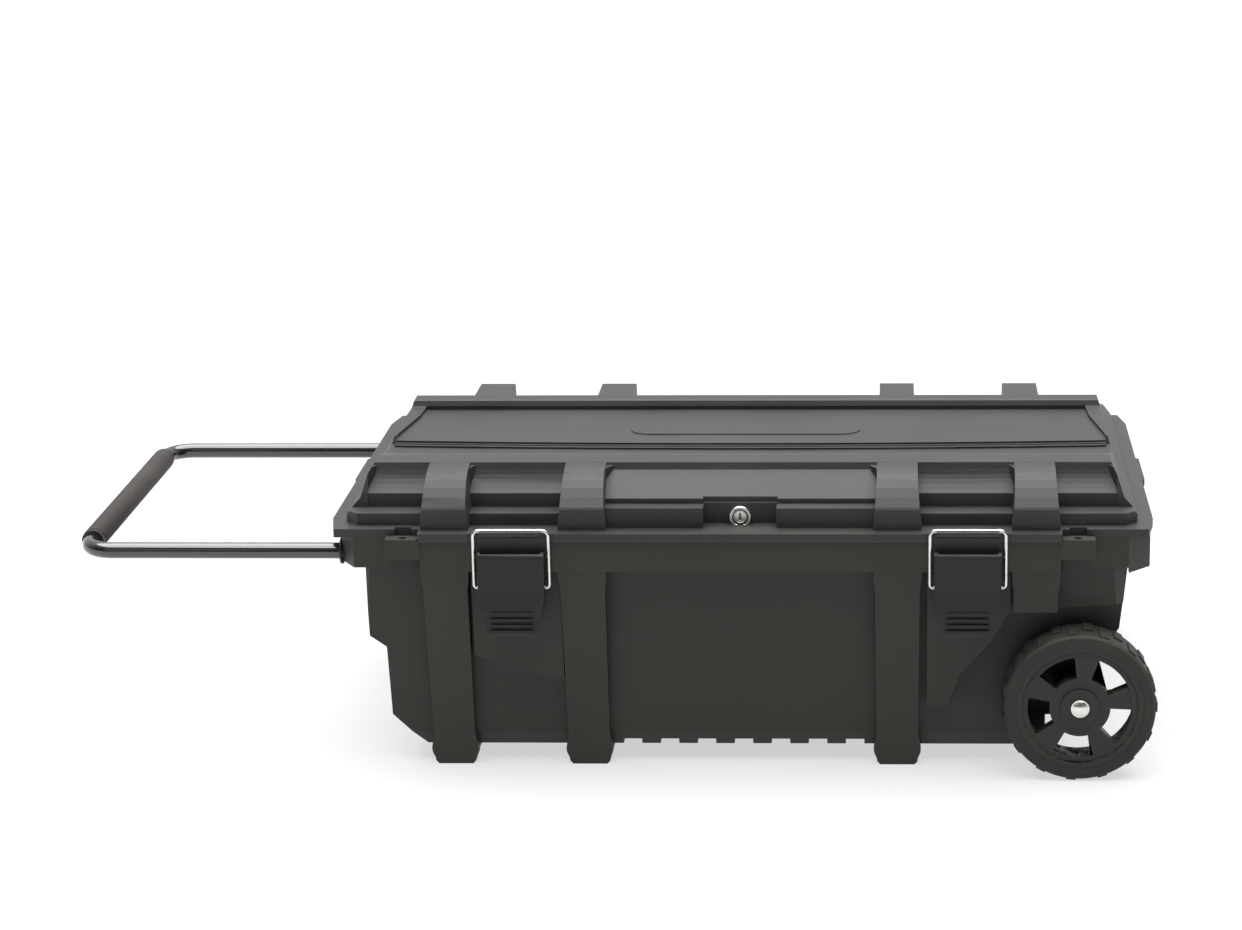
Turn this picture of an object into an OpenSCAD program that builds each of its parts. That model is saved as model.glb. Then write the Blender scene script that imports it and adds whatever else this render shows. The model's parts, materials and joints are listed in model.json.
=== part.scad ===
// Wheeled job box: a moulded tub and a stepped lid with four strap ribs, two wire draw latches,
// a cam lock, two wheels on a steel axle and a U-shaped pull-out handle.
// X runs along the box with the wheels at +X, the front is at -Y, and Z is up from the floor.

/* [Box] */
// Depth of the collar, front to back
depth = 556; // [540:1:572]
// Width of the collar round the top of the tub
collar_w = 924; // [916:1:930]
// Height of the parting line between tub and lid
rim_z = 283; // [281:0.5:285]
// Height of the strip along the lid's front shoulder
crown_z = 354; // [350:0.5:356]
// Height of the ridge across the back of the lid
ridge_z = 339; // [337:0.5:343]
// Wall thickness of the mouldings
wall = 3.5; // [3:0.1:4]
// Height of the underside of the tub
belly_z = 20.5; // [18:0.5:22]

/* [Strap ribs] */
// Distance of the outer ribs from the middle
rib_far = 338; // [336:1:340]
// Distance of the inner ribs from the middle
rib_near = 180; // [178:1:182]
// Width of a rib at the top
rib_w = 55; // [52:1:56]
// Width of a rib at its foot
foot_w = 48; // [44:1:50]

/* [Wheels] */
// Wheel diameter
wheel_d = 178; // [174:1:180]
// Width of a wheel
wheel_w = 48; // [44:1:50]
// Distance of the axle from the middle of the box
axle_x = 389; // [386:1:391]
// Axle diameter
axle_d = 12.7; // [12:0.1:13]

/* [Handle] */
// Diameter of the handle tube
tube_d = 19; // [18:0.5:20]
// Distance of each handle tube behind the front or back face of the collar
tube_y = 55; // [54:1:56]
// Height of the handle tubes
tube_z = 256; // [255:1:257]
// Distance of the grip from the middle of the box, pulled out
grip_x = 765; // [755:1:775]
// Radius of the two bends, on the centre line
bend_r = 32; // [30:1:36]
// Diameter of the grip sleeve
grip_d = 27; // [25:0.5:28]

/* [Latches and lock] */
// Distance of each latch from the middle
latch_x = 260; // [258:1:262]
// Outside width of a wire bail
bail_w = 90; // [88:1:91]
// Wire diameter of a bail
bail_d = 4; // [3.5:0.1:4.2]
// Diameter of the lock's face
lock_d = 24; // [22:0.5:25]

/* [Hidden] */
$fn = 64;

// Colours
plastic = [0.17, 0.17, 0.165];
lid_plastic = [0.22, 0.22, 0.215];
rubber = [0.09, 0.09, 0.09];
steel = [0.72, 0.72, 0.72];
chrome = [0.85, 0.85, 0.86];
painted = [0.06, 0.06, 0.06];

// Tub
half_w = collar_w / 2;
collar_z = 247;
collar_wall = 3.2;
rim_gap = 0.3;
rib_x = [-rib_far, -rib_near, rib_near, rib_far];
rib_edge = rib_far + rib_w / 2;
end_step = 17;
end_out = 8;
end_drop = 6;
panel_y = 22;
draft = 0.1;
rib_draft = 35.5 / collar_z;
foot_depth = 35;
shoulder_z = 160;
well_y = 39;
boss_y = 38;
chamfer_z = 37.5;
well_top = 198;
notch_x = 352;
notch_z = 150;
groove_pitch = 43.5;
groove_h = 7;
groove_n = 3;
tab_w = 39;
tab_z = 285.4;
corner = 18;

// Lid
flange_out = 12;
flange_t = 10;
flange_z = rim_z + flange_t;
flange_lip = 3;
lid_half = 455;
bay_y = 33;
bay_z = 307;
ledge_back_y = 62;
window_foot = [62, 323];
window_curve = [[62, 323], [67, 327], [72, 331.7], [76, 336.4], [79, 341], [81.5, 346.5]];
crown_y = [84, 117];
rib_face_y = 12;
rib_face_z = 317;
rib_curve = [[13.5, 319.5], [22, 329], [31, 337.7], [41, 344.5], [53, 349.6], [66, 352.7]];
valley = [247, 321.5];
valley_back_y = 288;
rim_half = 433;
panel_back_y = 430;
panel_z = 327;
ridge_y = [439, 464];
tail_y = 538;
centre_y = 22;
centre_z = 316.3;
centre_step = [[42, 316.3], [42.5, 322], [45, 322], [81, 346]];
lid_t = 3.2;
lid_end_lip = [[-1, 3], [1, 4]];
lip_y = [226, 334];
emblem_half = 118;
emblem_r = 24;

// Hinge
hinge_y = depth + 9;
hinge_z = rim_z + 3;
knuckle_r = 8;
knuckle_w = 21;
knuckle_gap = 1;
pin_d = 5;

// Latch
lever_y = -8;
lever_z = 266;
lever_r = 7.3;
lever_w = 76;
lever_end_w = 58;
lever_end_z = 174;
lever_t = 3;
cheek_y = -1;
bail_pivot = [-5, 230];
bail_bar = [-4, 297.2];
keeper_w = 70;
keeper_z = 294.8;
lever_pin_d = 4;
lug_x = 27;
bail_clear = 0.08;

// Lock
lock_y = 42;
lock_z = 302;
pocket_half = 42;
cam_y = 59.3;
cam_len = 22;
cam_w = 9;
cam_t = 2.5;
strike_x = [12, 34];

// Handle
tube_wall = 1.5;
tube_end_x = -280;
tube_run = 0.06;
plug_flange = 3;
grip_start = tube_y + bend_r + 12;
channel_x = [-424, -12];
bracket_x = [-392, -258, -122];

// Wheel
axle_z = wheel_d / 2;
wheel_face = -16;
tread_r = wheel_d / 2;
rim_r = 74;
lip_r = 65;
hub_r = 22;
window_r = [35, 60];
window_a = 47;
spokes = 5;
window_span = 45;
web_t = 16;
lug_n = 30;

x_mid = (axle_x + wheel_d / 2 - grip_x - grip_d / 2) / 2;

// Placing helpers
module along_x(x0, x1) {
    translate([x0, 0, 0]) rotate([90, 0, 90]) linear_extrude(x1 - x0) children();
}
module along_y(y0, y1) {
    translate([0, y1, 0]) rotate([90, 0, 0]) linear_extrude(y1 - y0) children();
}
module slab(z0, z1) {
    translate([0, 0, z0]) linear_extrude(z1 - z0) children();
}
module to_back() {
    translate([0, depth, 0]) mirror([0, 1, 0]) children();
}
module both_faces() {
    children();
    to_back() children();
}
module both_ends() {
    children();
    mirror([1, 0, 0]) children();
}
module block(x, y, z) {
    translate([x[0], y[0], z[0]]) cube([x[1] - x[0], y[1] - y[0], z[1] - z[0]]);
}
module rod_x(x0, x1, y, z, d) {
    translate([x0, y, z]) rotate([0, 90, 0]) cylinder(h = x1 - x0, d = d);
}
module rod_y(y0, y1, x, z, d) {
    translate([x, y1, z]) rotate([90, 0, 0]) cylinder(h = y1 - y0, d = d);
}
module placed() {
    translate([-x_mid, -depth / 2, 0]) children();
}

// A plan outline from its front right quarter
function round_plan(q) = concat(
    q,
    [for (i = [len(q) - 1:-1:0]) [q[i][0], depth - q[i][1]]],
    [for (p = q) [-p[0], depth - p[1]]],
    [for (i = [len(q) - 1:-1:0]) [-q[i][0], q[i][1]]]);

// The collar's outline, moved in by t
function collar_plan(t) = round_plan([
    [rib_edge - t, t], [rib_edge + 4 - t, end_step + t],
    [half_w - corner - t / 2, end_step + t], [half_w - t, end_step + 1.6 * corner]]);

// Face of the panels between the ribs at height z
function panel_at(z) = panel_y + draft * (collar_z - min(z, collar_z));
function rib_at(z) = 1.5 + rib_draft * (collar_z - z);

// Side profile of the tub's panels, moved in by t
module tub_side(t, top) {
    front = [[panel_y + t, top], [panel_y + t, collar_z], [panel_at(chamfer_z) + t, chamfer_z],
        [panel_at(belly_z) + t + 7, belly_z + t]];
    polygon(concat(front, [for (i = [len(front) - 1:-1:0]) [depth - front[i][0], front[i][1]]]));
}

// Front profile of the tub, moved in by t: a stepped left end, and a raised right end over the axle
module tub_front(t, top) {
    polygon([[-433 + t, top], [-432 + t, shoulder_z - t / 2], [-413 + t, shoulder_z - 14], [-411 + t, 60],
        [-372 + t / 2, belly_z + t], [notch_x - t, belly_z + t], [notch_x - t, notch_z + t],
        [430 - t / 2, notch_z + 8 + t], [436 - t, notch_z + 18 + t / 2], [445 - t, collar_z],
        [445 - t, top]]);
}

module tub_plan() {
    polygon(round_plan([[445 - corner, panel_y], [445, panel_y + corner]]));
}

// Side outline of the space for a wheel, moved out by t
module well_outline(t) {
    polygon([[238 - t, 78], [252 - t, 117 + t / 2], [287 - t, 157 + t],
        [309 - t, well_top - 2 + t], [366, well_top - 2 + t], [426, well_top + 2 + t],
        [500, well_top + 2 + t], [500, 78]]);
}

module tub_cavity() {
    difference() {
        intersection() {
            along_x(-half_w, half_w) tub_side(wall, rim_z + 1);
            along_y(0, depth) tub_front(wall, rim_z + 1);
            slab(0, rim_z + 1) polygon(round_plan([[441 - corner, panel_y + wall],
                [441, panel_y + corner + wall]]));
        }
        both_faces() along_y(0, well_y + wall) well_outline(wall);
        for (i = [-groove_n:groove_n])
            block([(i - 0.25) * groove_pitch - 3, (i + 0.25) * groove_pitch + 3], [0, depth],
                [0, belly_z + groove_h + 3]);
    }
}

module rib(x) {
    top = rib_w / 2;
    foot = foot_w / 2;
    half = [[top, rim_z], [top, 238], [top - 2, 222], [foot, 40], [foot + 3.5, belly_z],
        [foot + 3, belly_z - 5], [foot, 8], [foot - 0.5, 4], [foot - 4, 0]];
    intersection() {
        along_x(x - foot - 8, x + foot + 8) polygon([[0, rim_z - rim_gap], [0, collar_z], [1.5, collar_z],
            [rib_at(0), 0], [rib_at(0) + foot_depth, 0], [rib_at(0) + foot_depth, 40],
            [panel_y + 4, collar_z], [panel_y + 4, rim_z - rim_gap]]);
        along_y(-1, 100) polygon(concat([for (p = half) [x - p[0], p[1]]],
            [for (i = [len(half) - 1:-1:0]) [x + half[i][0], half[i][1]]]));
    }
}

// Hollow behind a rib, open to the inside of the tub
module rib_hollow(x, bottom) {
    along_x(x - foot_w / 2 + wall, x + foot_w / 2 - wall) polygon([[rib_at(243) + wall, 243],
        [rib_at(bottom) + wall, bottom], [panel_at(bottom) + 12, bottom], [panel_y + 12, 243]]);
}

// Side outline of the raised pads behind the latches
module pad_side() {
    polygon([[10, collar_z + 1], [10, collar_z - 2], [25, 78], [50, 78], [30, collar_z + 1]]);
}
// Pad behind the left latch, cut off at a slant
module latch_pad() {
    intersection() {
        along_x(-latch_x - 49, -latch_x + 54) pad_side();
        along_y(0, 60) polygon([[-309, 250], [-309, 141], [-262, 119], [-206, 112], [-206, 250]]);
    }
}
// Pad in front of a wheel that follows the edge of the wheel's space
module wheel_guard() {
    intersection() {
        along_x(214, 310) pad_side();
        along_y(0, 60) polygon([[214, 250], [214, 78], [238, 78], [252, 117], [287, 157], [309, well_top - 2],
            [309, 250]]);
    }
}

// Tab with a hole for a padlock or a strap, beside each outer rib
module padlock_tab() {
    block([rib_edge + 2.4, rib_edge + tab_w], [-1.5, end_step - 0.6], [262, tab_z]);
    block([rib_edge - 1, rib_edge + tab_w], [-1.5, end_step + 1], [262, rim_z - rim_gap]);
}

// Deeper end of the collar above the wheels, with longer slanted corners
module end_corners() {
    near = [[half_w - corner, end_step], [half_w + end_out, end_step + 1.5 * corner],
        [half_w - 2, end_step + 1.5 * corner], [half_w - corner, end_step + 8]];
    far = [for (i = [3:-1:0]) [near[i][0], depth - near[i][1]]];
    slab(collar_z - end_drop, rim_z - rim_gap)
        polygon([near[0], near[1], far[2], far[3], far[0], far[1], near[2], near[3]]);
}

// Plates and bosses that carry the axle behind each wheel
module axle_plate() {
    along_y(well_y, well_y + 7) polygon([[notch_x - 4, notch_z + 4], [notch_x - 4, 62], [369, 62], [388, 66],
        [408, 88], [414, notch_z + 8]]);
    rod_y(boss_y, boss_y + 22, axle_x, axle_z, 36);
}

module tub_knuckles() {
    for (s = [-1, 1], i = [-2, 0, 2]) translate([s * latch_x + i * (knuckle_w + knuckle_gap), 0, 0]) {
        rod_x(-knuckle_w / 2, knuckle_w / 2, hinge_y, hinge_z, 2 * knuckle_r);
        along_x(-knuckle_w / 2, knuckle_w / 2) polygon([[depth - 1, hinge_z - 3.4], [hinge_y, hinge_z],
            [hinge_y + knuckle_r, hinge_z], [hinge_y + 4, hinge_z - 8], [depth - 1, collar_z + 5]]);
    }
}

module latch_lugs() {
    for (s = [-1, 1], i = [-1, 1]) translate([s * latch_x + i * lug_x, 0, 0]) difference() {
        union() {
            rod_x(-3, 3, lever_y, lever_z, 8);
            block([-3, 3], [lever_y, 0.5], [lever_z - 4, lever_z + 1.5]);
        }
        rod_x(-4, 4, lever_y, lever_z, lever_pin_d + 0.1);
    }
}

module tub() {
    color(plastic) placed() difference() {
        union() {
            intersection() {
                along_x(-half_w, half_w) tub_side(0, rim_z - rim_gap);
                along_y(0, depth) tub_front(0, rim_z - rim_gap);
                slab(0, rim_z) tub_plan();
            }
            difference() {
                slab(collar_z, rim_z - rim_gap) polygon(collar_plan(0));
                slab(collar_z - 1, rim_z - rim_gap - collar_wall) polygon(collar_plan(collar_wall));
            }
            both_faces() {
                for (x = [-rib_far, -rib_near, rib_near]) rib(x);
                intersection() {
                    rib(rib_far);
                    block([0, half_w], [-1, depth], [well_top - 2, rim_z]);
                }
                wheel_guard();
            }
            latch_pad();
            both_ends() padlock_tab();
            end_corners();
            both_faces() axle_plate();
            tub_knuckles();
            latch_lugs();
        }
        // The wheel spaces, cut before the inside so that their walls stay whole
        both_faces() along_y(-5, well_y) difference() {
            well_outline(0);
            translate([axle_x, axle_z]) circle(d = 35.9);
        }
        both_faces() rod_y(-5, boss_y, axle_x, axle_z, 40);
        tub_cavity();
        both_faces() {
            for (x = [-rib_far, -rib_near, rib_near]) rib_hollow(x, 44);
            rib_hollow(rib_far, well_top + 6);
        }
        for (i = [-groove_n:groove_n])
            block([(i - 0.25) * groove_pitch, (i + 0.25) * groove_pitch], [-1, depth + 1],
                [0, belly_z + groove_h]);
        both_faces() rod_x(-half_w - 2, -425, tube_y, tube_z, tube_d + 5.1);
        both_ends() translate([rib_edge + tab_w / 2, 7, 255]) cylinder(h = 40, d = 9);
        both_faces() rod_y(-5, boss_y + 30, axle_x, axle_z, axle_d + 0.1);
        rod_x(-latch_x - 80, latch_x + 80, hinge_y, hinge_z, pin_d + 0.1);
    }
}

// Lid --------------------------------------------------------------------------------------

function flange_plan(t) = round_plan([
    [rib_edge + 1 - t, -flange_lip + t], [rib_edge + 2 - t, end_step + t],
    [half_w + 4 - t, end_step + t], [half_w + flange_out - t, end_step + 45]]);

// Rear part of a side profile of the lid, behind the crown strip
lid_back = [[crown_y[1], crown_z], valley, [valley_back_y, valley[1]],
    [valley_back_y + 4, panel_z + 4], [panel_back_y, panel_z + 4], [ridge_y[0] - 3, panel_z + 5],
    [ridge_y[0], ridge_z - 1], [ridge_y[0] + 3, ridge_z], [ridge_y[1], ridge_z],
    [ridge_y[1] + 6, ridge_z - 4], [ridge_y[1] + 8, 325], [depth - bay_y - 22, 318],
    [depth - bay_y - 4, 312], [depth - bay_y, bay_z - 3], [depth - bay_y, rim_z + 2]];

// Side profile of the lid in the bays between the ribs: a ledge, then a sloped window
module lid_side() {
    polygon(concat([[bay_y, rim_z + 2], [bay_y, bay_z], [ledge_back_y, bay_z]], window_curve,
        [[crown_y[0], crown_z]], lid_back));
}

// Side profile of the narrow rims that close the end bays
module rim_side() {
    polygon(concat([[bay_y, rim_z + 2], [bay_y, bay_z], [ledge_back_y - 2, bay_z],
        [ledge_back_y - 1, window_foot[1]], [ledge_back_y + 6, crown_z - 10],
        [crown_y[0], crown_z]], lid_back));
}

// Front profile of the lid: upright sides, then sides that slope in to the top
module lid_front(t) {
    side = [[455, rim_z + 2 - t], [455, 303], [441, 318], [432, 345], [426, crown_z + 1]];
    polygon(concat([for (p = side) [p[0] - t, p[1]]],
        [for (i = [len(side) - 1:-1:0]) [t - side[i][0], side[i][1]]]));
}

// A front rib: upright at the front, then steep up to the crown, with drafted sides
module front_rib(x, t) {
    half = [rib_w / 2 - t, rib_w / 2 - 2.3 - t, rib_w / 2 - 4.1 - t];
    intersection() {
        along_x(x - half[0], x + half[0]) polygon(concat([[rib_face_y + t, rim_z + 2 - t],
            [rib_face_y + t, rib_face_z - t / 2]], [for (p = rib_curve) [p[0] + t * 0.6, p[1] - t * 0.8]],
            [[crown_y[0] + 4, crown_z - t], [crown_y[0] + 4, rim_z + 20 - t],
            [bay_y + 4, rim_z + 2 - t]]));
        along_y(0, crown_y[1]) polygon([[x - half[0], 270], [x - half[0], 300], [x - half[1], 319],
            [x - half[2], 347], [x - half[2], crown_z + 2], [x + half[2], crown_z + 2], [x + half[2], 347],
            [x + half[1], 319], [x + half[0], 300], [x + half[0], 270]]);
    }
}

// The middle of the front, between the inner ribs: a higher ledge and one long slope
module centre_front(t) {
    half = rib_near - rib_w / 2 + 4 - t;
    along_x(-half, half) polygon([[centre_y + t, rim_z + 2 - t], [centre_y + t, centre_z - t],
        [centre_step[0][0] + t, centre_z - t], [centre_step[1][0] + t, centre_step[1][1] - t],
        [centre_step[2][0] + t, centre_step[2][1] - t], [centre_step[3][0] + t, centre_step[3][1] - t],
        [crown_y[0] + t, crown_z - t], [crown_y[0] + 12, crown_z - t], [crown_y[0] + 12, rim_z + 2 - t]]);
}

// Finger lip on the end of the flange, standing out by t
module end_lip(t) {
    edge = half_w + flange_out;
    slab(rim_z, flange_z - 1) polygon([[edge - 2, lip_y[0]], [edge + t, lip_y[0] + 8],
        [edge + t, lip_y[1] - 8], [edge - 2, lip_y[1]]]);
}

// Fillet that closes an outer back corner of a window, from x0 towards x1
module window_corner(x0, x1) {
    slab(window_foot[1], crown_z - 3) polygon([[x0, crown_y[0] + 1], [x1, crown_y[0] + 1], [x0, 66]]);
}

module rear_rib(x) {
    along_x(x - 22, x + 22) polygon([[ridge_y[1] - 4, 320], [ridge_y[1] - 4, ridge_z],
        [tail_y - 6, ridge_z - 1.5], [tail_y, ridge_z - 6], [depth - rib_face_y, 312],
        [depth - rib_face_y, rim_z + 2], [depth - 50, rim_z + 2]]);
}

// The sunk top panel: its front edge bows forward in the middle and its ends are cut off
module top_panel() {
    slab(panel_z, ridge_z + 2) polygon([[-434, 300], [-420, 393], [-418, panel_back_y + 6],
        [418, panel_back_y + 6], [420, 393], [434, 300], [434, 255], [-434, 255]]);
}

// Front edge of the top panel, bowed a little. It stands forward by y and lower by z
module bowed_edge(y, z) {
    slab(rim_z + 30, panel_z - z) polygon(concat([[-434, 305], [-434, 285 - y]],
        [for (i = [-10:10]) [i * 42, 271 - y + 12 * pow(i / 10, 2)]], [[434, 285 - y], [434, 305]]));
}

// Room inside the lid
module lid_room() {
    t = lid_t;
    back = depth - bay_y - t;
    intersection() {
        along_x(-lid_half + t, lid_half - t) polygon([[bay_y + t, rim_z - 1], [bay_y + t, bay_z - t],
            [ledge_back_y + t, bay_z - t], [ledge_back_y + t, window_foot[1] - t / 2],
            [window_curve[4][0] + t, window_curve[4][1] - t / 2], [crown_y[0] + t, crown_z - t],
            [crown_y[1] - t / 2, crown_z - t], [valley[0], valley[1] - t],
            [valley_back_y - 4, valley[1] - t], [valley_back_y, panel_z - t],
            [panel_back_y + 11, panel_z - t], [panel_back_y + 13, ridge_z - t - 1],
            [ridge_y[1] - 4, ridge_z - t - 1], [ridge_y[1] + 4, 321], [back - 23, 313],
            [back, bay_z - 5], [back, rim_z - 1]]);
        along_y(0, depth) lid_front(t + 2);
        slab(rim_z - 1, crown_z) polygon(round_plan([[lid_half - 14 - t, bay_y + t],
            [lid_half - t, bay_y + 14 + t]]));
    }
    for (x = rib_x) front_rib(x, t);
    centre_front(t);
}

module lid_knuckles() {
    for (s = [-1, 1], i = [-1, 1]) translate([s * latch_x + i * (knuckle_w + knuckle_gap), 0, 0]) {
        rod_x(-knuckle_w / 2, knuckle_w / 2, hinge_y, hinge_z, 2 * knuckle_r);
        block([-knuckle_w / 2, knuckle_w / 2], [depth - 4, hinge_y + 2],
            [rim_z + 0.3, hinge_z + knuckle_r - 0.5]);
    }
}

// Lip between the legs of each bail, with a nose that the bar drops behind
module keepers() {
    for (s = [-1, 1]) along_x(s * latch_x - keeper_w / 2, s * latch_x + keeper_w / 2)
        polygon([[4, rim_z + 4], [4, keeper_z], [-7.6, keeper_z], [-7.6, keeper_z + 2.6],
            [-9.6, keeper_z + 2], [-9.6, rim_z + 9], [-2, rim_z + 4]]);
}

module lid() {
    color(lid_plastic) placed() difference() {
        union() {
            slab(rim_z, flange_z) polygon(flange_plan(0));
            difference() {
                intersection() {
                    union() {
                        along_x(-rim_half, rim_half) lid_side();
                        both_ends() along_x(rim_half - 1, lid_half) rim_side();
                        both_ends() window_corner(rim_half, rim_half - 11);
                    }
                    along_y(0, depth) lid_front(0);
                    slab(rim_z, crown_z + 2) polygon(round_plan([[lid_half - 14, bay_y],
                        [lid_half, bay_y + 14]]));
                }
                top_panel();
            }
            for (t = [[0, 0], [5, 2.2], [11, 3.2]]) bowed_edge(t[0], t[1]);
            for (x = rib_x) {
                front_rib(x, 0);
                rear_rib(x);
            }
            centre_front(0);
            both_ends() {
                window_corner(rib_far - rib_w / 2 + 5, rib_far - rib_w / 2 - 3);
                window_corner(rib_near - rib_w / 2 + 5, rib_near - rib_w / 2 - 6);
            }
            for (e = lid_end_lip) scale([e[0], 1, 1]) end_lip(e[1]);
            // Plain raised emblem
            slab(panel_z - 1, panel_z + 1.2) translate([-7, 335]) {
                square([2 * emblem_half, 2 * emblem_r], center = true);
                for (s = [-1, 1]) translate([s * emblem_half, 0]) circle(r = emblem_r);
            }
            lid_knuckles();
            keepers();
        }
        difference() {
            lid_room();
            block([-pocket_half - 3, pocket_half + 3], [0, lock_y + 4], [rim_z - 2, 315]);
            block([-pocket_half - 6, pocket_half + 6], [0, lock_y + 8.5], [314, crown_z]);
        }
        // Pocket in front of the lock
        block([-pocket_half, pocket_half], [centre_y - 12, lock_y], [flange_z, ridge_z]);
        along_y(centre_y - 12, lock_y + 5) polygon([[-pocket_half, 317.5], [pocket_half, 317.5],
            [pocket_half + 4, ridge_z], [-pocket_half - 4, ridge_z]]);
        rod_y(lock_y - 1, lock_y + 10, 0, lock_z, 18.1);
        rod_y(lock_y - 7, lock_y, 0, lock_z, lock_d + 1);
        // Underside hollow at the flange, and clearance notches
        for (s = [-1, 1]) {
            block([s * 386 - 10, s * 386 + 10], [end_step - 6, end_step + 8], [rim_z - 1, flange_z + 1]);
            for (i = [-1, 1]) block([s * latch_x + i * 43 - 6, s * latch_x + i * 43 + 6], [-10, -1],
                [rim_z - 1, flange_z + 1]);
        }
        for (s = [-1, 1], i = [-2, 0, 2]) translate([s * latch_x + i * (knuckle_w + knuckle_gap), 0, 0])
            block([-knuckle_w / 2 - 1, knuckle_w / 2 + 1], [depth - 1, depth + 20],
                [rim_z - 1, flange_z + 6]);
        rod_x(-latch_x - 80, latch_x + 80, hinge_y, hinge_z, pin_d + 0.1);
    }
}

// Hinge pins -------------------------------------------------------------------------------

module hinge_pin(x) {
    run = 2.5 * knuckle_w + 2 * knuckle_gap;
    color(steel) placed() {
        rod_x(x - run - 2, x + run + 2, hinge_y, hinge_z, pin_d);
        rod_x(x - run - 3.6, x - run - 0.4, hinge_y, hinge_z, pin_d + 4);
    }
}
module left_hinge_pin() { hinge_pin(-latch_x); }
module right_hinge_pin() { hinge_pin(latch_x); }

// Latches ----------------------------------------------------------------------------------

module lever(x) {
    half = lever_w / 2;
    end = lever_end_w / 2;
    face = lever_y - lever_r;
    color(plastic) placed() translate([x, 0, 0]) difference() {
        union() {
            intersection() {
                along_x(-half, half) polygon([[lever_y, lever_z + 2], [face, lever_z], [face, 225],
                    [face - 1.5, 205], [face - 0.5, lever_end_z + 4], [face + 2.5, lever_end_z],
                    [face + 7, lever_end_z], [cheek_y - 1, 200], [cheek_y, lever_z - 8],
                    [lever_y + 4, lever_z]]);
                along_y(-30, 5) polygon([[-half, 290], [-half, 220], [-end, lever_end_z + 6],
                    [-end + 7, lever_end_z], [end - 7, lever_end_z], [end, lever_end_z + 6], [half, 220],
                    [half, 290]]);
            }
            rod_x(-half, half, lever_y, lever_z, 2 * lever_r);
        }
        // Hollow back between the cheeks
        along_x(-half + lever_t + 1, half - lever_t - 1) polygon([[face + lever_t, lever_z + 12],
            [face + lever_t, 224], [face + 2, 206], [face + 3, lever_end_z + 12], [8, lever_end_z + 12],
            [8, lever_z + 12]]);
        rod_x(-half - 1, half + 1, lever_y, lever_z, lever_pin_d + 0.1);
        rod_x(-half - 1, half + 1, bail_pivot[0], bail_pivot[1], bail_d + 2 * bail_clear);
    }
    // Four finger ridges near the free end
    color(plastic) placed() translate([x, 0, 0]) for (i = [0:3])
        block([-24, 24], [face - 4, face + 1], [180 + 7 * i, 182.6 + 7 * i]);
}
module left_latch_lever() { lever(-latch_x); }
module right_latch_lever() { lever(latch_x); }

module latch_pin(x) {
    color(steel) placed() rod_x(x - lever_w / 2 + 0.3, x + lever_w / 2 - 0.3, lever_y, lever_z, lever_pin_d);
}
module left_latch_pin() { latch_pin(-latch_x); }
module right_latch_pin() { latch_pin(latch_x); }

// Bent wire: two legs, a bar across the top with rounded corners, and two ends turned in
module bail(x) {
    half = (bail_w - bail_d) / 2;
    lean = atan2(bail_bar[0] - bail_pivot[0], bail_bar[1] - bail_pivot[1]);
    tall = norm([bail_bar[0] - bail_pivot[0], bail_bar[1] - bail_pivot[1]]);
    r = 7;
    toe = lever_w / 2 - lever_t - 0.6;
    color(chrome) placed() translate([x, bail_pivot[0], bail_pivot[1]]) rotate([-lean, 0, 0]) {
        rod_x(-half + r, half - r, 0, tall, bail_d);
        both_ends() {
            translate([half, 0, 4]) cylinder(h = tall - r - 4, d = bail_d);
            translate([half - r, 0, tall - r]) rotate([90, 0, 0]) rotate_extrude(angle = 90)
                translate([r, 0]) circle(d = bail_d, $fn = 32);
            translate([half - 4, 0, 4]) rotate([-90, 0, 0]) rotate_extrude(angle = 90)
                translate([4, 0]) circle(d = bail_d, $fn = 32);
            rod_x(toe, half - 4, 0, 0, bail_d);
        }
    }
}
module left_latch_bail() { bail(-latch_x); }
module right_latch_bail() { bail(latch_x); }

// Lock -------------------------------------------------------------------------------------

module lock_barrel() {
    color(chrome) placed() difference() {
        union() {
            rod_y(lock_y - 6, lock_y - 0.1, 0, lock_z, lock_d);
            rod_y(lock_y - 1, cam_y - 0.5, 0, lock_z, 18);
        }
        rod_y(lock_y - 7, cam_y + 1, 0, lock_z, 13.1);
    }
}
module lock_plug() {
    color(steel) placed() difference() {
        union() {
            rod_y(lock_y - 5, cam_y, 0, lock_z, 13);
            rod_y(cam_y - 1, cam_y + cam_t, 0, lock_z, 8);
        }
        block([-1.1, 1.1], [lock_y - 6, lock_y + 8], [lock_z - 4, lock_z + 4]);
        rod_y(cam_y - 2, cam_y + 6, 0, lock_z, 3.9);
    }
}
// The cam hangs down when unlocked
module lock_cam() {
    color(steel) placed() difference() {
        union() {
            rod_y(cam_y + 0.05, cam_y + cam_t, 0, lock_z, 16);
            block([-cam_w / 2, cam_w / 2], [cam_y + 0.05, cam_y + cam_t], [lock_z - cam_len, lock_z]);
        }
        rod_y(cam_y - 1, cam_y + 5, 0, lock_z, 8.05);
    }
}
module cam_screw() {
    color(steel) placed() {
        rod_y(cam_y - 1.5, cam_y + 4, 0, lock_z, 3.8);
        rod_y(cam_y + cam_t + 0.05, cam_y + 5, 0, lock_z, 10);
    }
}
module lock_nut() {
    color(steel) placed() difference() {
        translate([0, 53, lock_z]) rotate([90, 0, 0]) cylinder(h = 6.9, d = 27, $fn = 6);
        rod_y(40, 60, 0, lock_z, 18.1);
    }
}

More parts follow.
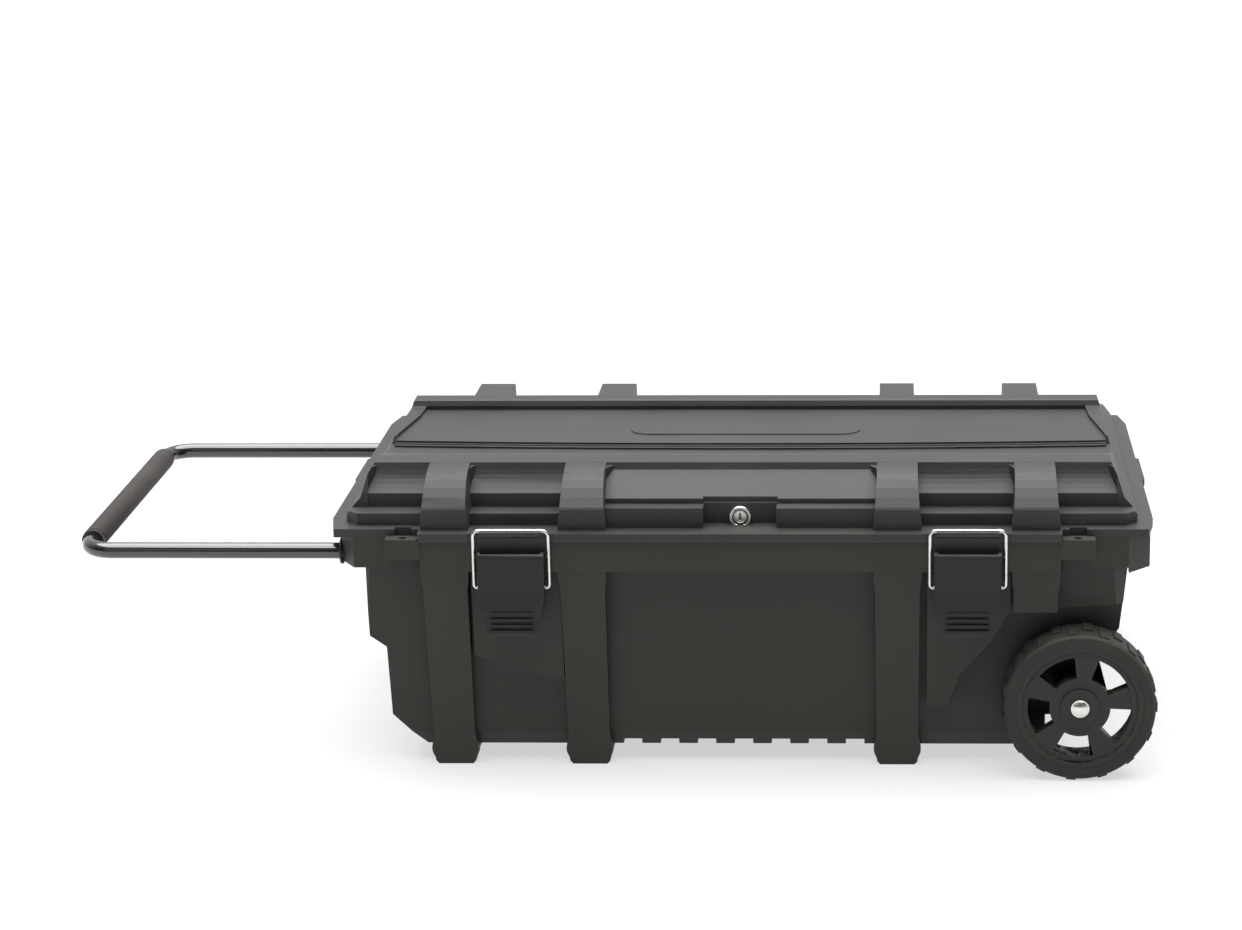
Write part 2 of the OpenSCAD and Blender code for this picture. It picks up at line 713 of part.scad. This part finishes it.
// Bent strap on the tub's front wall that the cam turns under
module lock_strike() {
    wall_y = panel_y + wall + 0.2;
    color(steel) placed() difference() {
        along_x(strike_x[0], strike_x[1]) polygon([[wall_y, 250], [wall_y + 2, 250], [wall_y + 2, 277],
            [68, 277], [68, 309.6], [56.5, 309.6], [56.5, 307.6], [66, 307.6], [66, 279], [wall_y, 279]]);
        for (x = strike_x) rod_y(20, 30, x + (x < 20 ? 6 : -6), 260, 4.2);
    }
}
module strike_screws() {
    wall_y = panel_y + wall + 0.2;
    color(steel) placed() for (x = strike_x) {
        rod_y(wall_y - 3, wall_y + 3, x + (x < 20 ? 6 : -6), 260, 4);
        rod_y(wall_y + 2.05, wall_y + 4.4, x + (x < 20 ? 6 : -6), 260, 8);
    }
}

// Handle -----------------------------------------------------------------------------------

module handle_path(d) {
    straight = depth - 2 * tube_y - 2 * bend_r;
    both_faces() {
        rod_x(-grip_x + bend_r, tube_end_x, tube_y, tube_z, d);
        translate([-grip_x + bend_r, tube_y + bend_r, tube_z]) rotate([0, 0, 180]) rotate_extrude(angle = 90)
            translate([bend_r, 0]) circle(d = d);
    }
    rod_y(tube_y + bend_r, tube_y + bend_r + straight, -grip_x, tube_z, d);
}
module handle_tube() {
    color(painted) placed() difference() {
        handle_path(tube_d);
        both_faces() rod_x(tube_end_x - 30, tube_end_x + 1, tube_y, tube_z, tube_d - 2 * tube_wall);
    }
}
module grip_at(y0, y1, d) {
    difference() {
        rod_y(y0, y1, -grip_x, tube_z, d);
        rod_y(y0 - 1, y1 + 1, -grip_x, tube_z, tube_d + 0.1);
    }
}
module handle_grip() {
    color(rubber) placed() grip_at(grip_start, depth - grip_start, grip_d);
}
module grip_rings() {
    color(rubber) placed() both_faces() grip_at(grip_start - 6, grip_start - 0.1, grip_d - 1);
}
module tube_end_plugs() {
    bore = tube_d - 2 * tube_wall;
    color(rubber) placed() both_faces() {
        rod_x(tube_end_x - 20, tube_end_x + 1, tube_y, tube_z, bore - 0.1);
        rod_x(tube_end_x + 0.05, tube_end_x + plug_flange, tube_y, tube_z, tube_d + 6);
    }
}

// Bush that carries a tube through the collar and the end wall
module bush() {
    difference() {
        union() {
            rod_x(-half_w - 3, -half_w - 0.1, tube_y, tube_z, tube_d + 12);
            rod_x(-half_w - 1, -426, tube_y, tube_z, tube_d + 5);
        }
        rod_x(-half_w - 4, -420, tube_y, tube_z, tube_d + 2 * tube_run);
    }
}
module front_handle_bush() { color(rubber) placed() bush(); }
module rear_handle_bush() { color(rubber) placed() to_back() bush(); }

// Boxed guide along the inside of the front or back wall, open at its right end
module channel() {
    y0 = panel_y + wall + 3;
    z = [tube_z - 17, tube_z + 17];
    difference() {
        union() {
            block(channel_x, [y0, tube_y + 17], z);
            for (x = bracket_x) block([x - 9, x + 9], [panel_at(z[0]) + wall + 0.3, y0 + 1], z);
        }
        block([channel_x[0] - 1, channel_x[1] + 1], [y0 + 3, tube_y + 14], [z[0] + 3, z[1] - 3]);
        for (x = bracket_x) rod_y(0, y0 + 5, x, tube_z, 4.2);
    }
    // Inner guide block that steadies the tube and stops the end plug
    difference() {
        block([tube_end_x - 22, tube_end_x - 0.5], [y0 + 3, tube_y + 14], [z[0] + 3, z[1] - 3]);
        rod_x(tube_end_x - 30, tube_end_x + 1, tube_y, tube_z, tube_d + 0.2);
    }
}
module front_handle_channel() { color(plastic) placed() channel(); }
module rear_handle_channel() { color(plastic) placed() to_back() channel(); }
module channel_screws() {
    y0 = panel_y + wall + 3;
    color(steel) placed() both_faces() for (x = bracket_x) {
        rod_y(panel_y + 1.2, y0 + 3, x, tube_z, 4);
        rod_y(y0 + 3.05, y0 + 5.5, x, tube_z, 8);
    }
}

// Wheels -----------------------------------------------------------------------------------

module axle() {
    color(steel) placed() rod_y(wheel_face - 1.5, depth - wheel_face + 1.5, axle_x, axle_z, axle_d);
}

// A wheel lies with its outer face at z = 0 and its axis along z, then is stood up
module stand_wheel() {
    translate([axle_x, wheel_face, axle_z]) rotate([-90, 0, 0]) children();
}
module hub_solid() {
    difference() {
        union() {
            difference() {
                translate([0, 0, 1]) cylinder(h = wheel_w - 2, r = rim_r);
                translate([0, 0, -1]) cylinder(h = 5, r1 = lip_r + 3, r2 = lip_r);
                translate([0, 0, 3]) cylinder(h = wheel_w, r = lip_r);
            }
            translate([0, 0, 3]) cylinder(h = web_t, r = lip_r + 1);
            cylinder(h = wheel_w, r = hub_r);
            for (i = [0:spokes - 1]) rotate(-(window_a + 36 + i * 72)) translate([hub_r - 2, -2.5, 4])
                cube([lip_r - hub_r + 4, 5, wheel_w - 14]);
            difference() {
                translate([0, 0, 4]) cylinder(h = wheel_w - 14, r = window_r[0] - 0.8);
                translate([0, 0, 3]) cylinder(h = wheel_w, r = window_r[0] - 4);
            }
        }
        // Five windows between the spokes
        for (i = [0:spokes - 1]) rotate(-(window_a + i * 72)) translate([0, 0, -1])
            rotate(-window_span / 2) rotate_extrude(angle = window_span)
                translate([window_r[0], 0]) square([window_r[1] - window_r[0], web_t + 8]);
        translate([0, 0, -1]) cylinder(h = wheel_w + 2, d = axle_d + 0.2);
    }
}
module tyre_solid() {
    shoulder = 5;
    difference() {
        rotate_extrude() polygon([[rim_r + 0.1, 0], [tread_r - shoulder, 0],
            [tread_r - 2, shoulder * 0.6], [tread_r - 1.8, wheel_w - shoulder * 0.6],
            [tread_r - shoulder, wheel_w], [rim_r + 0.1, wheel_w]]);
        translate([0, 0, -1]) cylinder(h = 2, r = rim_r);
    }
    for (i = [0:lug_n - 1]) rotate(i * 360 / lug_n) translate([tread_r - 4, -5.5, i % 2 == 0 ? 4 : 20])
        cube([4 - 0.15, 11, wheel_w - 24]);
}
module front_wheel_hub() { color(plastic) placed() stand_wheel() hub_solid(); }
module rear_wheel_hub() { color(plastic) placed() to_back() stand_wheel() hub_solid(); }
module front_tyre() { color(rubber) placed() stand_wheel() tyre_solid(); }
module rear_tyre() { color(rubber) placed() to_back() stand_wheel() tyre_solid(); }

module wheel_washers() {
    color(steel) placed() both_faces() difference() {
        rod_y(wheel_face + wheel_w + 0.5, boss_y - 0.5, axle_x, axle_z, 26);
        rod_y(wheel_face, boss_y, axle_x, axle_z, axle_d + 0.1);
    }
}

// Domed push-on cap over the end of the axle
module axle_cap_solid() {
    difference() {
        union() {
            rod_y(wheel_face - 2.4, wheel_face - 0.3, axle_x, axle_z, 21);
            intersection() {
                translate([axle_x, wheel_face + 12.2, axle_z]) sphere(r = 17.6);
                rod_y(wheel_face - 6, wheel_face - 2.4, axle_x, axle_z, 18);
            }
        }
        rod_y(wheel_face - 2, wheel_face + 10, axle_x, axle_z, axle_d + 0.04);
    }
}
module front_axle_cap() { color(chrome) placed() axle_cap_solid(); }
module rear_axle_cap() { color(chrome) placed() to_back() axle_cap_solid(); }

tub();
lid();
left_hinge_pin();
right_hinge_pin();
left_latch_lever();
right_latch_lever();
left_latch_pin();
right_latch_pin();
left_latch_bail();
right_latch_bail();
lock_barrel();
lock_plug();
lock_cam();
cam_screw();
lock_nut();
lock_strike();
strike_screws();
handle_tube();
handle_grip();
grip_rings();
tube_end_plugs();
front_handle_bush();
rear_handle_bush();
front_handle_channel();
rear_handle_channel();
channel_screws();
axle();
front_wheel_hub();
rear_wheel_hub();
front_tyre();
rear_tyre();
wheel_washers();
front_axle_cap();
rear_axle_cap();
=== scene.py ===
"""Looks for a wheeled job box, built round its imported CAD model."""
import json
import math

import bmesh
import bpy
from mathutils import Matrix, Vector


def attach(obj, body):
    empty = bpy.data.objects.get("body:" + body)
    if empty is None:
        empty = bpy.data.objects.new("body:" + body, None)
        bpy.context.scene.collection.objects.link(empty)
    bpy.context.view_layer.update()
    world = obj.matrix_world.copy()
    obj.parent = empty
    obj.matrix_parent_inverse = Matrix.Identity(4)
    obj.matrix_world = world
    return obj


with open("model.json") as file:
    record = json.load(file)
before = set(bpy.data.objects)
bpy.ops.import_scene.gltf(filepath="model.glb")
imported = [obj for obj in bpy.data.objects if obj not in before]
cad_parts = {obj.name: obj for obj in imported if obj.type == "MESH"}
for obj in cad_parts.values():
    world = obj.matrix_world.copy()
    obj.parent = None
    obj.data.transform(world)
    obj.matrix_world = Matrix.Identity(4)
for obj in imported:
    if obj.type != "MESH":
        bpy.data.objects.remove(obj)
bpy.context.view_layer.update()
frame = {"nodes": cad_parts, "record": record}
NODES = frame["nodes"]
MM = 0.001


def at(x, y, z):
    """A point given in mm from the middle of the collar's front edge, on the floor."""
    return Vector(((x + 150.25) * MM, (y - 278) * MM, z * MM))


# --- Node materials ------------------------------------------------------------------------

# Places of a colour Mix node's factor, its two colours, and its result among its sockets
MIX_SOCKETS = (0, 6, 7, 2)


def plug(tree, socket, value):
    """Links value into socket if it is another node's output, and sets it there if not."""
    if isinstance(value, bpy.types.NodeSocket):
        tree.links.new(value, socket)
    else:
        socket.default_value = value


class Paint:
    """A small helper that builds one node material."""

    def __init__(self, name):
        self.material = bpy.data.materials.new(name)
        self.material.use_nodes = True
        self.tree = self.material.node_tree
        self.shader = self.tree.nodes["Principled BSDF"]
        coords = self.tree.nodes.new("ShaderNodeTexCoord")
        self.place = coords.outputs["Object"]

    def node(self, kind, **sockets):
        made = self.tree.nodes.new("ShaderNode" + kind)
        for key, value in sockets.items():
            self.put(made, key.replace("_", " "), value)
        return made

    def put(self, made, key, value):
        plug(self.tree, made.inputs[key], value)

    def noise(self, scale, detail=3.0, stretch=(1, 1, 1), rough=0.55):
        mapping = self.node("Mapping", Vector=self.place, Scale=stretch)
        made = self.node("TexNoise", Vector=mapping.outputs[0], Scale=scale, Detail=detail,
                         Roughness=rough)
        return made.outputs["Fac"]

    def math(self, operation, a, b=0.0):
        made = self.tree.nodes.new("ShaderNodeMath")
        made.operation = operation
        for socket, value in zip(made.inputs, (a, b)):
            plug(self.tree, socket, value)
        return made.outputs[0]

    def ramp(self, value, low, high, start=0.0, end=1.0):
        made = self.node("MapRange", Value=value, From_Min=low, From_Max=high, To_Min=start, To_Max=end)
        return made.outputs[0]

    def blend(self, share, a, b):
        made = self.tree.nodes.new("ShaderNodeMix")
        made.data_type = "RGBA"
        factor, first, second, colour = MIX_SOCKETS
        for key, value in ((factor, share), (first, a), (second, b)):
            self.put(made, key, (*value, 1) if isinstance(value, tuple) else value)
        return made.outputs[colour]

    def bump(self, height, strength, distance, normal=None):
        made = self.node("Bump", Height=height, Strength=strength, Distance=distance)
        if normal is not None:
            self.tree.links.new(normal, made.inputs["Normal"])
        return made.outputs[0]

    def edge(self, radius):
        """1 on sharp edges, 0 on open faces."""
        bevel = self.tree.nodes.new("ShaderNodeBevel")
        bevel.samples = 4
        bevel.inputs["Radius"].default_value = radius
        geometry = self.tree.nodes.new("ShaderNodeNewGeometry")
        dot = self.tree.nodes.new("ShaderNodeVectorMath")
        dot.operation = "DOT_PRODUCT"
        self.tree.links.new(bevel.outputs[0], dot.inputs[0])
        self.tree.links.new(geometry.outputs["Normal"], dot.inputs[1])
        return self.ramp(dot.outputs["Value"], 0.995, 0.8)

    def finish(self, **sockets):
        for key, value in sockets.items():
            self.put(self.shader, key.replace("_", " "), value)
        return self.material


def moulded(name, dark, light, rough=0.5, grain=0.00005, wear_and_highlight=0.5):
    """Moulded plastic with a fine grain, cloudy colour, scuffs, and sharp edges painted paler in patches:
    partly rubbing wear, partly a painted highlight along the edges.
    """
    p = Paint(name)
    cloud = p.noise(7.0, 4.0)
    fine = p.noise(900.0, 2.0)
    scuff = p.ramp(p.noise(38.0, 6.0, (1, 1, 3.5), 0.7), 0.6, 0.78)
    # Mask of sharp edges broken into patches: real rubbing wear together with a painted edge highlight
    rubbed_and_highlit = p.math("MULTIPLY", p.edge(0.0018), p.ramp(p.noise(26.0, 5.0), 0.35, 0.7))
    base = p.blend(p.ramp(cloud, 0.3, 0.7), dark, light)
    pale = tuple(min(1.0, 2.1 * c) for c in light)
    base = p.blend(p.math("MULTIPLY", scuff, 0.18), base, pale)
    # Paints the edges paler: part rubbing wear, part painted highlight
    base = p.blend(p.math("MULTIPLY", rubbed_and_highlit, wear_and_highlight), base, pale)
    marks = p.math("ADD", cloud, p.math("MULTIPLY", scuff, 0.5))
    roughness = p.ramp(marks, 0.2, 1.2, rough - 0.07, rough + 0.12)
    normal = p.bump(fine, 0.55, grain, p.bump(cloud, 0.12, 0.002))
    return p.finish(Base_Color=base, Roughness=roughness, Normal=normal, Specular_IOR_Level=0.3)


def metal(name, colour, rough, brushed=(1, 1, 1), scratch=0.2):
    """Bare or plated metal with fine brushing and a little dulling."""
    p = Paint(name)
    lines = p.noise(420.0, 3.0, brushed)
    dull = p.ramp(p.noise(45.0, 5.0), 0.4, 0.75)
    base = p.blend(p.math("MULTIPLY", dull, scratch), colour, tuple(c * 0.55 for c in colour))
    roughness = p.ramp(p.math("ADD", lines, dull), 0.3, 1.6, rough, rough + 0.16)
    return p.finish(Base_Color=base, Roughness=roughness, Metallic=1.0, Normal=p.bump(lines, 0.08, 0.0001))


def coated(name, colour, rough):
    """Powder-coated steel tube."""
    p = Paint(name)
    peel = p.noise(650.0, 2.0)
    rub = p.ramp(p.noise(30.0, 6.0, (6, 1, 1), 0.7), 0.62, 0.8)
    base = p.blend(p.math("MULTIPLY", rub, 0.35), colour, tuple(3.0 * c + 0.02 for c in colour))
    roughness = p.ramp(rub, 0.0, 1.0, rough, rough + 0.2)
    return p.finish(Base_Color=base, Roughness=roughness, Coat_Weight=0.6, Coat_Roughness=0.08,
                    Specular_IOR_Level=0.8, Normal=p.bump(peel, 0.2, 0.00002))


def rubber(name, dark, light, rough, pore=500.0, depth=0.0004):
    """Foam or tyre rubber with pores and pale dust."""
    p = Paint(name)
    pores = p.noise(pore, 3.0)
    dust = p.ramp(p.noise(18.0, 6.0, (1, 1, 1), 0.65), 0.45, 0.75)
    base = p.blend(dust, dark, light)
    return p.finish(Base_Color=base, Roughness=p.ramp(dust, 0.0, 1.0, rough, rough + 0.1),
                    Normal=p.bump(pores, 0.5, depth), Specular_IOR_Level=0.35)


MATERIALS = {
    "tub_plastic": moulded("tub_plastic", (0.0225, 0.0215, 0.0175), (0.0295, 0.0285, 0.024)),
    "lid_plastic": moulded("lid_plastic", (0.0275, 0.0262, 0.024), (0.035, 0.0335, 0.031)),
    "latch_plastic": moulded("latch_plastic", (0.012, 0.0115, 0.0095), (0.017, 0.016, 0.0135), rough=0.48),
    "hub_plastic": moulded("hub_plastic", (0.0195, 0.0185, 0.0155), (0.0255, 0.0245, 0.021), rough=0.45),
    "trim_plastic": moulded("trim_plastic", (0.02, 0.019, 0.018), (0.032, 0.03, 0.029), rough=0.4),
    "bail_chrome": metal("bail_chrome", (0.72, 0.72, 0.7), 0.2),
    "lock_chrome": metal("lock_chrome", (0.8, 0.79, 0.77), 0.2),
    "plated_steel": metal("plated_steel", (0.62, 0.62, 0.6), 0.3),
    "pin_steel": metal("pin_steel", (0.55, 0.55, 0.54), 0.3, (1, 20, 1)),
    "tube_paint": coated("tube_paint", (0.01, 0.01, 0.0095), 0.15),
    "grip_rubber": rubber("grip_rubber", (0.024, 0.02, 0.0185), (0.04, 0.034, 0.031), 0.72),
    "tyre_rubber": rubber("tyre_rubber", (0.022, 0.021, 0.018), (0.034, 0.0325, 0.0285), 0.66),
}

# Width of the rounded edges, in mm, where it isn't the small one
SMALL_BEVEL = 0.4
BEVELS = {"tub": 1.4, "lid": 1.4, "left_latch_lever": 0.5, "right_latch_lever": 0.5, "front_wheel_hub": 1.0,
          "rear_wheel_hub": 1.0, "front_tyre": 1.0, "rear_tyre": 1.0}


# Points closer than this are one point, in m; faces that turn less than FLAT are one face;
# edges that turn more than SHARP are rounded
SAME_POINT = 2e-5
FLAT = math.radians(0.6)
SHARP = math.radians(28)


def soften(obj, width, merge):
    """Rounds the sharp edges of a CAD node by width, in mm, with modifiers only."""
    weld = obj.modifiers.new("weld", "WELD")
    weld.merge_threshold = SAME_POINT
    if merge:
        flat = obj.modifiers.new("flat", "DECIMATE")
        flat.decimate_type = "DISSOLVE"
        flat.angle_limit = FLAT
    bevel = obj.modifiers.new("bevel", "BEVEL")
    bevel.width = width * MM
    bevel.segments = 2
    bevel.limit_method = "ANGLE"
    bevel.angle_limit = SHARP
    bevel.harden_normals = True
    bevel.miter_outer = "MITER_ARC"


for part in frame["record"]["subparts"]:
    node = NODES[part["node"]]
    node.data.materials.clear()
    node.data.materials.append(MATERIALS[part["material_slot"]])
    soften(node, BEVELS.get(part["node"], SMALL_BEVEL), "lever" not in part["node"])


# --- Added pieces --------------------------------------------------------------------------

def lathe(name, profile, centre, body, slot, steps=72):
    """A ring turned about a line along Y. The profile is (radius, y) in mm, from the front inwards."""
    shape = bmesh.new()
    rings = []
    for radius, y in profile:
        ring = []
        for i in range(steps):
            turn = 2 * math.pi * i / steps
            offset = Vector((radius * math.cos(turn), y, radius * math.sin(turn)))
            ring.append(shape.verts.new(centre + offset * MM))
        rings.append(ring)
    for a, b in zip(rings, rings[1:] + rings[:1]):
        for i in range(steps):
            shape.faces.new((a[i], a[(i + 1) % steps], b[(i + 1) % steps], b[i]))
    bmesh.ops.recalc_face_normals(shape, faces=shape.faces)
    mesh = bpy.data.meshes.new(name)
    shape.to_mesh(mesh)
    shape.free()
    for face in mesh.polygons:
        face.use_smooth = True
    mesh.materials.append(MATERIALS[slot])
    made = bpy.data.objects.new(name, mesh)
    bpy.context.scene.collection.objects.link(made)
    crisp = made.modifiers.new("crisp", "BEVEL")
    crisp.width = 0.12 * MM
    crisp.segments = 2
    crisp.limit_method = "ANGLE"
    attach(made, body)
    return made


# Middle of the lock's face, and the two rings round it
LOCK = at(0, 36, 302)
BEZEL = [(12.9, 1.2), (12.6, -0.4), (11.6, -1.2), (10.4, -1.1), (9.6, -0.2), (9.4, 0.3), (12.0, 1.6)]
RECESS = [(9.3, -0.05), (9.1, -0.3), (7.6, -0.3), (7.4, -0.05), (8.4, 0.3)]
lathe("lock_bezel", BEZEL, LOCK, "lid", "lock_chrome")
lathe("lock_recess_ring", RECESS, LOCK, "lid", "trim_plastic")

# --- Floor, light and camera ---------------------------------------------------------------

# Half the floor's side, in m, and its own glow
FLOOR_HALF = 30
FLOOR_GLOW = 0.6

# The overhead light: power, tilt from straight down, and how wide the sky it comes from is, in degrees
SUN_POWER = 7.1
SUN_TILT = -4
SUN_SPREAD = 75

# Brightness of the room in front of the object, behind it, and added overhead
ROOM_FRONT = 0.05
ROOM_BACK = 0.78
ROOM_TOP = 0.2

# The camera: focal length in mm, sideways shift, place in m, and turn in degrees
LENS = 89.40
SHIFT_X = -0.1441
EYE = (0.32515, -3.6316, 1.2940)
PAN, TILT, ROLL = (math.radians(a) for a in (1.788, 74.66, -0.499))


def stage():
    """A pale matt floor."""
    floor_mesh = bpy.data.meshes.new("floor")
    shape = bmesh.new()
    bmesh.ops.create_grid(shape, x_segments=1, y_segments=1, size=FLOOR_HALF)
    shape.to_mesh(floor_mesh)
    shape.free()
    floor = bpy.data.objects.new("floor", floor_mesh)
    bpy.context.scene.collection.objects.link(floor)
    paint = Paint("floor")
    tint = paint.blend(paint.noise(0.8, 2.0), (0.2, 0.2, 0.2), (0.22, 0.22, 0.22))
    floor.data.materials.append(paint.finish(Base_Color=tint, Roughness=0.9, Emission_Color=(1, 1, 1, 1),
                                             Emission_Strength=FLOOR_GLOW))


def sun():
    """A wide, soft light from overhead."""
    data = bpy.data.lights.new("overhead", "SUN")
    data.energy = SUN_POWER
    data.angle = math.radians(SUN_SPREAD)
    light = bpy.data.objects.new("overhead", data)
    light.rotation_euler = (math.radians(SUN_TILT), 0, 0)
    bpy.context.scene.collection.objects.link(light)


def area_light(name, place, aim, size, power):
    """A rectangular light of the given width and height, in m, turned to face aim."""
    data = bpy.data.lights.new(name, "AREA")
    data.shape = "RECTANGLE"
    data.size, data.size_y = size
    data.energy = power
    light = bpy.data.objects.new(name, data)
    light.location = place
    light.rotation_euler = (Vector(aim) - Vector(place)).to_track_quat("-Z", "Y").to_euler()
    bpy.context.scene.collection.objects.link(light)


def map_range(tree, value, limits):
    """A Map Range node on value that takes limits[0]..limits[1] to limits[2]..limits[3]."""
    made = tree.nodes.new("ShaderNodeMapRange")
    plug(tree, made.inputs["Value"], value)
    for key, limit in zip(("From Min", "From Max", "To Min", "To Max"), limits):
        made.inputs[key].default_value = limit
    return made


def room():
    """A pale room that is brighter behind the object and overhead than in front of it."""
    world = bpy.data.worlds.new("studio")
    world.use_nodes = True
    tree = world.node_tree
    split = tree.nodes.new("ShaderNodeSeparateXYZ")
    tree.links.new(tree.nodes.new("ShaderNodeTexCoord").outputs["Generated"], split.inputs[0])
    behind = map_range(tree, split.outputs["Y"], (-0.5, 0.7, ROOM_FRONT, ROOM_BACK))
    behind.interpolation_type = "SMOOTHSTEP"
    above = map_range(tree, split.outputs["Z"], (0.2, 0.9, 0.0, ROOM_TOP))
    total = tree.nodes.new("ShaderNodeMath")
    tree.links.new(behind.outputs[0], total.inputs[0])
    tree.links.new(above.outputs[0], total.inputs[1])
    background = tree.nodes["Background"]
    background.inputs["Color"].default_value = (1, 1, 1, 1)
    tree.links.new(total.outputs[0], background.inputs["Strength"])
    bpy.context.scene.world = world


def camera():
    """The photograph's viewing angle."""
    data = bpy.data.cameras.new("camera")
    data.sensor_width = 36
    data.lens = LENS
    data.shift_x = SHIFT_X
    eye = bpy.data.objects.new("camera", data)
    turn = Matrix.Rotation(PAN, 4, "Z") @ Matrix.Rotation(TILT, 4, "X") @ Matrix.Rotation(ROLL, 4, "Z")
    eye.matrix_world = Matrix.Translation(EYE) @ turn
    bpy.context.scene.collection.objects.link(eye)
    bpy.context.scene.camera = eye


stage()
room()
sun()
area_light("front_fill", (-1.4, -3.2, 1.7), (0.1, 0.0, 0.2), (2.0, 1.2), 4)
bpy.context.scene.view_settings.view_transform = "Standard"
camera()
